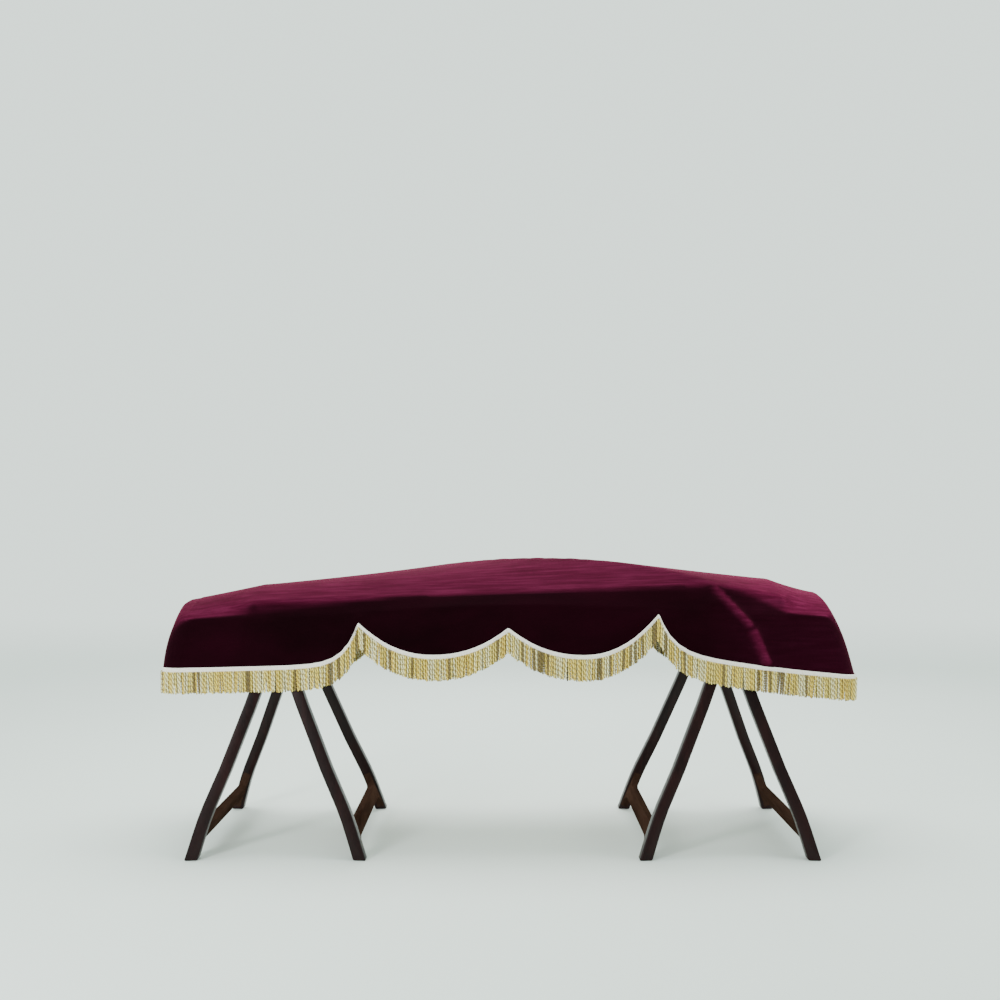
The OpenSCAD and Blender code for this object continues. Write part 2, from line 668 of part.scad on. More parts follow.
frame_pad(-tail_stand_x, -1);  // tail_outer_pad
moving_hinge(-tail_stand_x, -1);  // tail_outer_hinge
cover_cloth();
cover_braid();
cover_fringe();
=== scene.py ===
import json
import math

import bmesh
import bpy
import numpy as np
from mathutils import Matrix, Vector
from mathutils.bvhtree import BVHTree


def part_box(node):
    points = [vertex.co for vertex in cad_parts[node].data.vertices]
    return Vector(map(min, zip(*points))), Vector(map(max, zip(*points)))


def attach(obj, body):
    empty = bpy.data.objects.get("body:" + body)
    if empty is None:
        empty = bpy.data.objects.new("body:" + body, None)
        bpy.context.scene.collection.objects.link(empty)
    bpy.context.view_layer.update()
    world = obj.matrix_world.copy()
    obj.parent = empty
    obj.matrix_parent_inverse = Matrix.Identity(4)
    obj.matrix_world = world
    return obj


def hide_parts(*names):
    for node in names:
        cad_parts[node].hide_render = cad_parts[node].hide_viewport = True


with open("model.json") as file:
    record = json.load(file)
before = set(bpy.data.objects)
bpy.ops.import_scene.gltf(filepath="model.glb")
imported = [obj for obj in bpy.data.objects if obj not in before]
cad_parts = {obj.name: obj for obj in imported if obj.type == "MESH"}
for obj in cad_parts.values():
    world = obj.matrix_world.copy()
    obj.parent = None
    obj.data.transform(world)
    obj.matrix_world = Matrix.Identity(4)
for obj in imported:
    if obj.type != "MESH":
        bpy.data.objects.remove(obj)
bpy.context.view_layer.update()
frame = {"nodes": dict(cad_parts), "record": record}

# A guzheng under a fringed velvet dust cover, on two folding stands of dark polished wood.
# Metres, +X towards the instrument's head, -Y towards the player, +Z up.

NODES = frame["nodes"]
STRINGS = 21
GREEN_EVERY = 5
rng = np.random.default_rng(21)

# ---------------------------------------------------------------- camera, light and floor

LENS_MM = 39.43
SENSOR_MM = 36.0
CAMERA_AT = (-0.021, -2.943, 0.853)
CAMERA_PITCH = 82.16    # degrees up from straight down
CAMERA_SHIFT = 0.171    # puts the horizon where it is in the photograph's frame
FLOOR_COLOR = (0.75, 0.82, 0.785)
WORLD_COLOR = (0.77, 0.89, 0.83)
WORLD_DIM_SIDE = (0.30, 0.33, 0.32)
WORLD_STRENGTH = 1.9
FLOOR_FADE = (0.9, 7.0)     # the floor turns into the backdrop between these places along Y


def add_camera():
    camera = bpy.data.cameras.new("camera")
    camera.lens, camera.sensor_width, camera.shift_y = LENS_MM, SENSOR_MM, CAMERA_SHIFT
    holder = bpy.data.objects.new("camera", camera)
    holder.location = CAMERA_AT
    holder.rotation_euler = (math.radians(CAMERA_PITCH), 0, 0)
    bpy.context.scene.collection.objects.link(holder)
    bpy.context.scene.camera = holder


def add_area_light(name, at, towards, size, power, color=(1, 1, 1)):
    light = bpy.data.lights.new(name, "AREA")
    light.shape, light.size, light.size_y = "RECTANGLE", size[0], size[1]
    light.energy, light.color = power, color
    holder = bpy.data.objects.new(name, light)
    holder.location = at
    holder.rotation_euler = (Vector(towards) - Vector(at)).to_track_quat("-Z", "Y").to_euler()
    holder.visible_camera = False
    bpy.context.scene.collection.objects.link(holder)


def add_lights():
    middle = (0, 0, 0.6)
    add_area_light("overhead", (0.0, 0.5, 3.2), middle, (3.2, 1.6), 85, (1.0, 0.97, 0.96))
    add_area_light("back", (0.3, 3.0, 1.7), middle, (3.6, 1.0), 40, (1.0, 0.95, 0.96))
    add_area_light("front_left", (-2.0, -2.6, 1.6), (0, 0, 0.45), (0.5, 1.6), 66)
    add_area_light("head_side", (3.0, -0.9, 1.3), middle, (0.8, 0.8), 12)


def add_world():
    """A pale studio: bright behind and above the object, dimmer on the camera's side."""
    world = bpy.data.worlds.new("studio")
    world.use_nodes = True
    tree = world.node_tree
    direction = tree.nodes.new("ShaderNodeTexCoord")
    along = tree.nodes.new("ShaderNodeVectorMath")
    along.operation = "DOT_PRODUCT"
    along.inputs[1].default_value = (0, 0.5, 0.2)
    ramp = tree.nodes.new("ShaderNodeValToRGB")
    shift = tree.nodes.new("ShaderNodeMath")
    shift.operation, shift.inputs[1].default_value = "ADD", 0.5
    ramp.color_ramp.elements[0].position, ramp.color_ramp.elements[1].position = 0.1, 0.75
    ramp.color_ramp.elements[0].color = (*WORLD_DIM_SIDE, 1)
    ramp.color_ramp.elements[1].color = (*WORLD_COLOR, 1)
    tree.links.new(direction.outputs["Generated"], along.inputs[0])
    tree.links.new(along.outputs["Value"], shift.inputs[0])
    tree.links.new(shift.outputs["Value"], ramp.inputs["Fac"])
    tree.links.new(ramp.outputs["Color"], tree.nodes["Background"].inputs["Color"])
    tree.nodes["Background"].inputs["Strength"].default_value = WORLD_STRENGTH
    bpy.context.scene.world = world


# ---------------------------------------------------------------- material helpers

class Shader:
    """A Principled material and short ways to add nodes in front of it."""

    def __init__(self, name, **settings):
        self.material = bpy.data.materials.new(name)
        self.material.use_nodes = True
        self.tree = self.material.node_tree
        self.main = self.tree.nodes["Principled BSDF"]
        for key, value in settings.items():
            socket = self.main.inputs[key.replace("_", " ")]
            socket.default_value = (*value, 1) if isinstance(value, tuple) else value

    def node(self, kind, **settings):
        made = self.tree.nodes.new("ShaderNode" + kind)
        for key, value in settings.items():
            setattr(made, key, value)
        return made

    def link(self, a, b):
        self.tree.links.new(a, b)

    def place(self, scale=(1, 1, 1), turn=(0, 0, 0)):
        """Object coordinates, stretched by scale and turned by so many degrees."""
        coordinates = self.node("TexCoord")
        mapping = self.node("Mapping")
        mapping.inputs["Scale"].default_value = scale
        mapping.inputs["Rotation"].default_value = [math.radians(a) for a in turn]
        self.link(coordinates.outputs["Object"], mapping.inputs["Vector"])
        return mapping.outputs["Vector"]

    def noise(self, vector, scale, detail=4.0, rough=0.55, distortion=0.0):
        made = self.node("TexNoise")
        settings = {"Scale": scale, "Detail": detail, "Roughness": rough, "Distortion": distortion}
        for key, value in settings.items():
            made.inputs[key].default_value = value
        self.link(vector, made.inputs["Vector"])
        return made.outputs["Fac"]

    def ramp(self, value, stops):
        """Colours (or greys) at places from 0 to 1."""
        made = self.node("ValToRGB")
        elements = made.color_ramp.elements
        while len(elements) < len(stops):
            elements.new(0.5)
        for element, (at, color) in zip(elements, stops):
            element.position = at
            element.color = (*color, 1) if isinstance(color, tuple) else (color, color, color, 1)
        self.link(value, made.inputs["Fac"])
        return made.outputs["Color"]

    def math(self, operation, a, b):
        made = self.node("Math", operation=operation)
        for socket, value in zip(made.inputs, (a, b)):
            if isinstance(value, (int, float)):
                socket.default_value = value
            else:
                self.link(value, socket)
        return made.outputs["Value"]

    def mix(self, factor, a, b, blend="MIX"):
        made = self.node("Mix", data_type="RGBA", blend_type=blend)
        for socket, value in zip((made.inputs[0], made.inputs[6], made.inputs[7]), (factor, a, b)):
            if isinstance(value, (int, float)):
                socket.default_value = value
            elif isinstance(value, tuple):
                socket.default_value = (*value, 1)
            else:
                self.link(value, socket)
        return made.outputs[2]

    def attribute(self, name):
        return self.node("Attribute", attribute_name=name).outputs["Color"]

    def bump(self, height, strength, distance):
        made = self.node("Bump")
        made.inputs["Strength"].default_value = strength
        made.inputs["Distance"].default_value = distance
        self.link(height, made.inputs["Height"])
        self.link(made.outputs["Normal"], self.main.inputs["Normal"])

    def into(self, socket, value):
        self.link(value, self.main.inputs[socket])


# ---------------------------------------------------------------- materials

def velvet():
    """Short dense pile. Its top is painted lighter and its hanging skirts dark, as painted light and shade.
    """
    s = Shader("velvet", Roughness=0.85, Specular_IOR_Level=0.03, Sheen_Weight=0.38,
               Sheen_Roughness=0.35, Sheen_Tint=(0.40, 0.014, 0.09))
    streaks = s.noise(s.place((0.8, 12, 10)), 9, detail=8, rough=0.66)
    patches = s.noise(s.place((1, 2, 2)), 4, detail=3)
    combed = s.math("ADD", s.math("MULTIPLY", streaks, 0.75), s.math("MULTIPLY", patches, 0.25))
    # The top's colours stand for the velvet lit from above (painted light), and the skirt's for its shade
    # (painted shade).
    top = s.ramp(combed, [(0.36, (0.060, 0.0026, 0.0165)), (0.50, (0.094, 0.0054, 0.0290)),
                          (0.64, (0.146, 0.0125, 0.0510))])
    skirt = s.ramp(patches, [(0.3, (0.0050, 0.0001, 0.0012)), (0.7, (0.0110, 0.0003, 0.0028))])
    # Painted light and shade: the stored attribute mixes the lit top colour over the shaded skirt colour.
    s.into("Base Color", s.mix(s.attribute("painted_light"), skirt, top))
    pile = s.noise(s.place(), 700, detail=2)
    s.bump(s.math("ADD", s.math("MULTIPLY", pile, 0.6), s.math("MULTIPLY", streaks, 0.4)), 0.25, 0.0014)
    return s.material


def lining():
    s = Shader("lining", Roughness=0.5, Specular_IOR_Level=0.3)
    weave = s.noise(s.place((1, 3, 3)), 420, detail=2)
    s.into("Base Color", s.ramp(weave, [(0.35, (0.030, 0.003, 0.009)), (0.65, (0.060, 0.008, 0.018))]))
    s.bump(weave, 0.2, 0.0006)
    return s.material


def braid_thread():
    s = Shader("braid_thread", Roughness=0.5, Sheen_Weight=0.2, Specular_IOR_Level=0.4)
    rows = s.noise(s.place((1, 1, 1)), 330, detail=3)
    s.into("Base Color", s.ramp(rows, [(0.3, (0.84, 0.76, 0.60)), (0.5, (0.97, 0.93, 0.86)),
                                       (0.75, (1.0, 0.98, 0.95))]))
    s.bump(rows, 0.5, 0.0012)
    return s.material


def fringe_thread():
    """Shiny rayon strands that differ between cream, gold and olive, with painted shade on the back row."""
    s = Shader("fringe_thread", Roughness=0.34, Specular_IOR_Level=0.6, Sheen_Weight=0.1)
    fine = s.noise(s.place((1, 1, 0.5)), 520, detail=2)
    glint = s.ramp(fine, [(0.52, 0.0), (0.85, 0.25)])
    s.into("Base Color", s.mix(glint, s.attribute("tone_and_shade"), (1.0, 0.90, 0.46)))
    s.into("Roughness", s.ramp(fine, [(0.3, 0.26), (0.7, 0.46)]))
    s.bump(fine, 0.3, 0.0006)
    return s.material


def lacquered_wood(name, dark, light, gloss=0.16, ring=(22, 4, 4), coat=0.35, turn=(0, 0, 0)):
    """Close-grained dark wood under clear lacquer. The grain runs along the axis where ring is smallest."""
    s = Shader(name, Roughness=gloss, Coat_Weight=coat, Coat_Roughness=0.12, Specular_IOR_Level=0.14)
    vector = s.place(ring, turn)
    broad = s.noise(vector, 2.2, detail=5, rough=0.6, distortion=0.8)
    pores = s.noise(s.place([4 * a for a in ring], turn), 9, detail=2)
    grain = s.math("ADD", s.math("MULTIPLY", broad, 0.75), s.math("MULTIPLY", pores, 0.25))
    s.into("Base Color", s.ramp(grain, [(0.34, dark), (0.66, light)]))
    s.into("Roughness", s.ramp(pores, [(0.3, gloss), (0.8, gloss + 0.16)]))
    s.bump(pores, 0.08, 0.0004)
    return s.material


def raw_wood(name, dark, light, ring=(2, 42, 42), specular=0.35):
    s = Shader(name, Roughness=0.65, Specular_IOR_Level=specular)
    grain = s.noise(s.place(ring), 2.4, detail=6, rough=0.62, distortion=0.5)
    s.into("Base Color", s.ramp(grain, [(0.3, dark), (0.7, light)]))
    s.bump(grain, 0.12, 0.0008)
    return s.material


def plain(name, color, roughness, metallic=0.0, mottle=0.15, scale=60, bump=0.05):
    s = Shader(name, Roughness=roughness, Metallic=metallic)
    spots = s.noise(s.place(), scale, detail=4)
    dark = tuple(c * (1 - mottle) for c in color)
    light = tuple(min(1, c * (1 + mottle)) for c in color)
    s.into("Base Color", s.ramp(spots, [(0.3, dark), (0.7, light)]))
    s.into("Roughness", s.ramp(spots, [(0.3, roughness * 0.8), (0.7, min(1, roughness * 1.25))]))
    s.bump(spots, bump, 0.0006)
    return s.material


def floor_paint():
    """A matt floor that turns into the backdrop's own light far behind the object."""
    s = Shader("floor_paint", Roughness=0.9, Specular_IOR_Level=0.0, Emission_Strength=WORLD_STRENGTH)
    clouds = s.noise(s.place(), 0.7, detail=3)
    lighter = tuple(c * 1.03 for c in FLOOR_COLOR)
    far = s.node("MapRange", interpolation_type="SMOOTHSTEP")
    for socket, value in zip(far.inputs[1:5], (*FLOOR_FADE, 0.0, 1.0)):
        socket.default_value = value
    axes = s.node("SeparateXYZ")
    s.link(s.place(), axes.inputs["Vector"])
    s.link(axes.outputs["Y"], far.inputs["Value"])
    away = far.outputs["Result"]
    s.into("Base Color", s.mix(away, s.ramp(clouds, [(0.3, FLOOR_COLOR), (0.7, lighter)]), (0, 0, 0)))
    s.into("Emission Color", s.mix(away, (0, 0, 0), WORLD_COLOR))
    return s.material


MATERIALS = {
    "velvet": velvet(), "lining": lining(), "braid": braid_thread(), "fringe": fringe_thread(),
    "stand_wood": lacquered_wood("stand_wood", (0.0040, 0.0009, 0.0010), (0.0170, 0.0036, 0.0036),
                                 gloss=0.30, ring=(9, 9, 1.6), coat=0.06),
    "stretcher_wood": raw_wood("stretcher_wood", (0.0200, 0.0100, 0.0070), (0.0520, 0.0280, 0.0195),
                               ring=(9, 2, 9), specular=0.0),
    "rosewood": lacquered_wood("rosewood", (0.030, 0.007, 0.005), (0.120, 0.032, 0.018),
                               gloss=0.15, ring=(1.2, 14, 14)),
    "bridge_wood": lacquered_wood("bridge_wood", (0.035, 0.010, 0.006), (0.090, 0.028, 0.015),
                                  gloss=0.3, ring=(20, 20, 4)),
    "paulownia": raw_wood("paulownia", (0.33, 0.19, 0.085), (0.56, 0.36, 0.19)),
    "plain_wood": raw_wood("plain_wood", (0.36, 0.22, 0.11), (0.50, 0.33, 0.19), (3, 25, 25)),
    "bone": plain("bone", (0.80, 0.74, 0.60), 0.32, scale=120),
    "nylon_white": plain("nylon_white", (0.74, 0.74, 0.71), 0.3, mottle=0.05, scale=400),
    "nylon_green": plain("nylon_green", (0.03, 0.30, 0.09), 0.3, mottle=0.1, scale=400),
    "steel": plain("steel", (0.62, 0.62, 0.64), 0.22, 1.0, scale=200),
    "brass": plain("brass", (0.72, 0.50, 0.20), 0.28, 1.0, scale=150),
    "felt": plain("felt", (0.012, 0.012, 0.013), 0.95, mottle=0.5, scale=500, bump=0.4),
}


# ---------------------------------------------------------------- mesh helpers

def add_piece(name, vertices, faces, materials, smooth=True):
    mesh = bpy.data.meshes.new(name)
    mesh.from_pydata([tuple(map(float, v)) for v in vertices], [], [tuple(map(int, f)) for f in faces])
    for m in materials:
        mesh.materials.append(m)
    mesh.validate()
    mesh.polygons.foreach_set("use_smooth", [smooth] * len(mesh.polygons))
    piece = bpy.data.objects.new(name, mesh)
    bpy.context.scene.collection.objects.link(piece)
    return piece


def apply_modifiers(piece):
    """Keeps the evaluated mesh and drops the modifiers."""
    bpy.context.view_layer.update()
    done = bpy.data.meshes.new_from_object(piece.evaluated_get(bpy.context.evaluated_depsgraph_get()))
    piece.modifiers.clear()
    piece.data = done


def node_points(name):
    mesh = NODES[name].data
    points = np.empty(len(mesh.vertices) * 3, np.float32)
    mesh.vertices.foreach_get("co", points)
    return points.reshape(-1, 3).astype(float)


def paint(node, *materials):
    """Puts new materials on a CAD node."""
    slots = NODES[node].data.materials
    slots.clear()
    for m in materials:
        slots.append(m)


def rounded_copy(node, material, radius, segments=3, angle=28):
    """A copy of a CAD node with its sharp edges rounded, which stands for it."""
    piece = bpy.data.objects.new(node + "_rounded", NODES[node].data.copy())
    bpy.context.scene.collection.objects.link(piece)
    piece.data.materials.clear()
    piece.data.materials.append(material)
    mesh = bmesh.new()
    mesh.from_mesh(piece.data)
    bmesh.ops.remove_doubles(mesh, verts=mesh.verts, dist=1e-5)
    bmesh.ops.dissolve_limit(mesh, angle_limit=math.radians(1.0), verts=mesh.verts, edges=mesh.edges)
    sharp = [e for e in mesh.edges if len(e.link_faces) == 2 and e.calc_face_angle() > math.radians(angle)]
    bmesh.ops.bevel(mesh, geom=sharp, offset=radius, segments=segments, profile=0.5, affect="EDGES",
                    clamp_overlap=True)
    mesh.to_mesh(piece.data)
    mesh.free()
    piece.data.polygons.foreach_set("use_smooth", [True] * len(piece.data.polygons))
    piece.data.set_sharp_from_angle(angle=math.radians(38))
    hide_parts(node)
    return piece


# ---------------------------------------------------------------- the cover's shape

CLOTH = 0.0022          # thickness of the velvet and its lining
REST_GAP = 0.0040       # between what it lies on and the cloth's inside
CORNER = 0.030          # radius of the cover's upright corners
FOLD_RISE = 0.013       # how far the skirt's fold stands out
FOLD_UPPER = (0.098, -0.110)    # its two runs, along X and Z
FOLD_LOWER = (0.040, -0.095)
FOLD_WIDTHS = (0.009, 0.012)
BRIDGE_TRAVEL = 0.008   # how far each movable bridge slides either way, under the cloth
BESIDE_STRINGS = 0.006  # how far past the outer strings the cloth keeps their height
EDGE_GAP = 0.005        # from the instrument's edge to the cover's
TAIL_OVERHANG = 0.020   # how far the cloth bulges past each end before it falls
HEAD_OVERHANG = 0.008
GRID = 0.006            # spacing of the height map along the instrument
COLUMNS = 89            # its columns across
DRAPE_ROUNDS = 1500     # relaxation steps of the taut skin
TAIL_PULL = 9.0         # how much tauter it is along the instrument beyond the tail nut
SMOOTHING_DIP = 0.0012  # how far the last smoothing may lower it
AROUND = 940            # points around the cover
ARC_POINTS = 11         # of these, at each upright corner
INWARD = 24             # rings from the top's edge to the middle
INSET_POWER = 1.35      # above 1, the rings are closer together near the edge
DOWN = 28               # rings from the top's edge to the hem
SKIRT_BELLY = 0.004     # how far the skirts swell outward, halfway down
SKIRT_WAVE = 0.0045     # the height of their soft folds at the hem

body_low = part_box("tail_end_board")[0]
body_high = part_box("head_end_board")[1]
cover_low, cover_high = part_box("cover_cloth")
END_X = float(body_high.x) + EDGE_GAP
TAIL_HALF = float(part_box("tail_end_board")[1].y) + EDGE_GAP
HEAD_HALF = float(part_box("head_end_board")[1].y) + EDGE_GAP


def half_width(x):
    return TAIL_HALF + (HEAD_HALF - TAIL_HALF) * (x + END_X) / (2 * END_X)


def string_lines():
    """For each string, its height above the floor as sorted x and z."""
    points = node_points("strings")
    reach = points[:, 1].max()
    pitch = 2 * reach / (STRINGS - 1)
    number = np.clip(np.round((points[:, 1] + reach) / pitch), 0, STRINGS - 1).astype(int)
    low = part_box("tail_nut")[0].x
    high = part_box("head_nut")[1].x
    lines = []
    for n in range(STRINGS):
        p = points[(number == n) & (points[:, 0] > low) & (points[:, 0] < high)]
        bins = np.round(p[:, 0], 3)
        xs = np.unique(bins)
        lines.append((xs, np.array([p[bins == x, 2].max() for x in xs])))
    return np.linspace(-reach, reach, STRINGS), lines


def solid_tree(names):
    """One ray-casting tree over several CAD nodes."""
    vertices, faces = [], []
    for name in names:
        mesh = NODES[name].data
        base = len(vertices)
        vertices += [v.co.copy() for v in mesh.vertices]
        faces += [[base + i for i in p.vertices] for p in mesh.polygons]
    return BVHTree.FromPolygons(vertices, faces)


def support_map():
    """Heights that the cloth must stay above: rows along x, columns across from front to back."""
    xs = np.arange(-END_X, END_X + GRID / 2, GRID)
    across = np.linspace(-1, 1, COLUMNS)
    tree = solid_tree([n for n in NODES
                       if n.endswith(("_board", "_boards", "_plate", "_lid", "_nut", "nut_strips"))])
    bridges = solid_tree([n for n in NODES if n.startswith("bridge_")])
    down = Vector((0, 0, -1))
    ys, lines = string_lines()
    over_strings = np.array([np.interp(xs, lx, lz, left=0, right=0) for lx, lz in lines])
    heights = np.zeros((len(xs), len(across)))
    for i, x in enumerate(xs):
        inside = min(abs(x), END_X - 0.006) * (1 if x > 0 else -1)
        for j, a in enumerate(across):
            y = a * half_width(x)
            hits = [tree.ray_cast(Vector((inside, y * 0.965, 2.0)), down)[0]]
            hits += [bridges.ray_cast(Vector((inside + s, y * 0.965, 2.0)), down)[0]
                     for s in (-BRIDGE_TRAVEL, 0, BRIDGE_TRAVEL)]
            beside = max(-ys[-1], min(ys[-1], y)) if abs(y) < ys[-1] + BESIDE_STRINGS else y
            over = float(np.interp(beside, ys, over_strings[:, i], left=0, right=0))
            heights[i, j] = max([over] + [hit.z for hit in hits if hit])
    return xs, across, heights + REST_GAP


def draped(support, xs):
    """A taut skin over the support: it lies on the high places and spans what is between them.
    Beyond the tail nut it is pulled tight along the instrument."""
    sheet = support.copy()
    tight = np.where(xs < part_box("tail_nut")[1].x, TAIL_PULL, 1.0)[:, None]
    for _ in range(DRAPE_ROUNDS):
        padded = np.pad(sheet, 1, mode="edge")
        lengthwise = padded[2:, 1:-1] + padded[:-2, 1:-1]
        mean = (tight * lengthwise + padded[1:-1, 2:] + padded[1:-1, :-2]) / (2 * tight + 2)
        mean[:, 0], mean[:, -1] = support[:, 0], support[:, -1]
        mean[0, :], mean[-1, :] = support[0, :], support[-1, :]
        sheet = np.maximum(support, mean)
    padded = np.pad(sheet, 1, mode="edge")
    neighbours = padded[2:, 1:-1] + padded[:-2, 1:-1] + padded[1:-1, 2:] + padded[1:-1, :-2]
    return np.maximum((2 * sheet + neighbours / 2) / 4, support - SMOOTHING_DIP)


map_x, map_a, map_z = support_map()
map_z = draped(map_z, map_x)


def top_height(x, y):
    """The draped height at points, by bilinear interpolation."""
    u = np.clip((x - map_x[0]) / GRID, 0, len(map_x) - 1.001)
    v = np.clip((y / half_width(x) + 1) / 2 * (len(map_a) - 1), 0, len(map_a) - 1.001)
    i, j = u.astype(int), v.astype(int)
    fu, fv = u - i, v - j
    return ((1 - fu) * ((1 - fv) * map_z[i, j] + fv * map_z[i, j + 1])
            + fu * ((1 - fv) * map_z[i + 1, j] + fv * map_z[i + 1, j + 1]))


def hem_line():
    """The hem's height along the front, from the CAD braid's upper edge."""
    points = node_points("cover_braid")
    front = points[points[:, 1] < -half_width(points[:, 0]) + 0.002]
    bins = np.round(front[:, 0], 3)
    xs = np.unique(bins)
    return xs, np.array([front[bins == x, 2].max() for x in xs])


hem_xs, hem_zs = hem_line()


def outline():
    """Points around the top's edge, with rounded corners, and their outward directions."""
    xs, ys, nx, ny = [], [], [], []

    def arc(cx, cy, start, stop):
        for a in np.radians(np.linspace(start, stop, ARC_POINTS + 2)[1:-1]):
            xs.append(cx + CORNER * math.cos(a))
            ys.append(cy + CORNER * math.sin(a))
            nx.append(math.cos(a))
            ny.append(math.sin(a))

    def line(x0, y0, x1, y1, n, direction):
        for t in np.linspace(0, 1, n):
            xs.append(x0 + (x1 - x0) * t)
            ys.append(y0 + (y1 - y0) * t)
            nx.append(direction[0])
            ny.append(direction[1])

    straight = END_X - CORNER
    straight_points = AROUND - 4 * ARC_POINTS
    along = straight_points * 9 // 22
    across = (straight_points - 2 * along) // 2
    line(-straight, -TAIL_HALF, straight, -HEAD_HALF, along, (0, -1))
    arc(straight, -HEAD_HALF + CORNER, -90, 0)
    line(END_X, -HEAD_HALF + CORNER, END_X, HEAD_HALF - CORNER, across, (1, 0))
    arc(straight, HEAD_HALF - CORNER, 0, 90)
    line(straight, HEAD_HALF, -straight, TAIL_HALF, along, (0, 1))
    arc(-straight, TAIL_HALF - CORNER, 90, 180)
    line(-END_X, TAIL_HALF - CORNER, -END_X, -TAIL_HALF + CORNER, across, (-1, 0))
    arc(-straight, -TAIL_HALF + CORNER, 180, 270)
    return np.array(xs), np.array(ys), np.array(nx), np.array(ny)


def soft_folds(along, count, seed):
    """A smooth, never negative wave around the cover, from 0 to about 1."""
    local = np.random.default_rng(seed)
    total = np.zeros_like(along)
    for k in range(count):
        total += local.uniform(0.4, 1) * np.sin(2 * math.pi * (k + 2) * local.uniform(0.9, 1.6) * along
                                                + local.uniform(0, 2 * math.pi))
    total -= total.min()
    return total / total.max()


def cover_rings():
    """The cover's outer surface as rings of points, from the middle line down to the hem."""
    ex, ey, nx, ny = outline()
    n = len(ex)
    spine_x = np.clip(ex, -(END_X - TAIL_HALF), END_X - HEAD_HALF)
    along = np.cumsum(np.hypot(np.roll(ex, -1) - ex, np.roll(ey, -1) - ey))
    along /= along[-1]
    rings = []
    for k in range(INWARD, -1, -1):
        inset = (k / INWARD) ** INSET_POWER
        x, y = ex + (spine_x - ex) * inset, ey * (1 - inset)
        rings.append(np.stack([x, y, top_height(x, y) + CLOTH], 1))
    edge_z = rings[-1][:, 2].copy()
    # The hem at each point: the skirts lean outward, so its x is a little past the edge's.
    low_z = np.interp(ex * cover_high.x / END_X, hem_xs, hem_zs)
    flare_side = (abs(cover_low.y) - HEAD_HALF) / (edge_z.max() - hem_zs.min())
    flare_end = cover_high.x - END_X - CLOTH
    drop_full = edge_z - low_z
    drop_end = np.where(ex > 0, edge_z[np.argmax(ex)] - hem_zs[-1], edge_z[np.argmin(ex)] - hem_zs[0])
    wave = soft_folds(along, 26, 5) * 0.6 + soft_folds(along, 60, 8) * 0.4
    for k in range(1, DOWN + 1):
        f = k / DOWN
        depth = drop_full * f
        lean_y = flare_side * depth
        fall = depth / drop_end
        bulge = np.where(ex < 0, TAIL_OVERHANG * (1 - (ey / TAIL_HALF) ** 2) * np.clip(fall / 0.06, 0, 1),
                         HEAD_OVERHANG * np.sin(math.pi * np.clip(fall, 0, 1)) ** 0.6)
        lean_x = flare_end * np.where(ex < 0, np.sqrt(fall), fall) + bulge * (1 - fall)
        lean_x = lean_x * np.clip((np.abs(ex) - 0.5) / (END_X - 0.5), 0, 1) ** 2
        out = SKIRT_WAVE * wave * f ** 1.4 + SKIRT_BELLY * math.sin(math.pi * f)
        x = ex + np.where(np.abs(nx) > 0.01, nx, 0) * out + np.sign(ex) * lean_x
        y = ey + ny * out + np.sign(ey) * lean_y * np.clip(np.abs(ey) / half_width(ex), 0, 1)
        rings.append(np.stack([x, y, edge_z - depth], 1))
    grid = np.array(rings)
    # Round off the bend at the top's edge.
    bend = INWARD
    smooth = (grid[bend - 2:bend + 3] * 2 + grid[bend - 3:bend + 2] + grid[bend - 1:bend + 4]) / 4
    grid[bend - 2:bend + 3, :, 2] = smooth[:, :, 2]
    return grid


def fold_height(x, y, z):
    """The front skirt's fold, from the front bridge's corner to the hem: 1 on its crest, 0 away from it."""
    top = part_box("bridge_01")[1]
    start = np.array([top.x - 0.008, float(top.z) + 0.012])
    corner = start + np.array(FOLD_UPPER)
    foot = corner + np.array(FOLD_LOWER)
    height = np.zeros_like(x)
    for a, b, width in ((start, corner, FOLD_WIDTHS[0]), (corner, foot, FOLD_WIDTHS[1])):
        line = b - a
        length = np.linalg.norm(line)
        t = ((x - a[0]) * line[0] + (z - a[1]) * line[1]) / length ** 2
        side = ((x - a[0]) * line[1] - (z - a[1]) * line[0]) / length
        fade = np.clip((t + 0.12) / 0.2, 0, 1) * np.clip((1.12 - t) / 0.2, 0, 1)
        # steep on the head's side, easy on the other
        shape = np.exp(-(side / (np.where(side > 0, 2.6, 0.8) * width)) ** 2)
        height = np.maximum(height, np.where(y < 0, fade * shape, 0))
    return height


def crease(grid):
    """Raises the fold on the skirt."""
    skirt = grid[INWARD - 3:]
    skirt[:, :, 1] -= FOLD_RISE * fold_height(skirt[:, :, 0], skirt[:, :, 1], skirt[:, :, 2])
    return grid


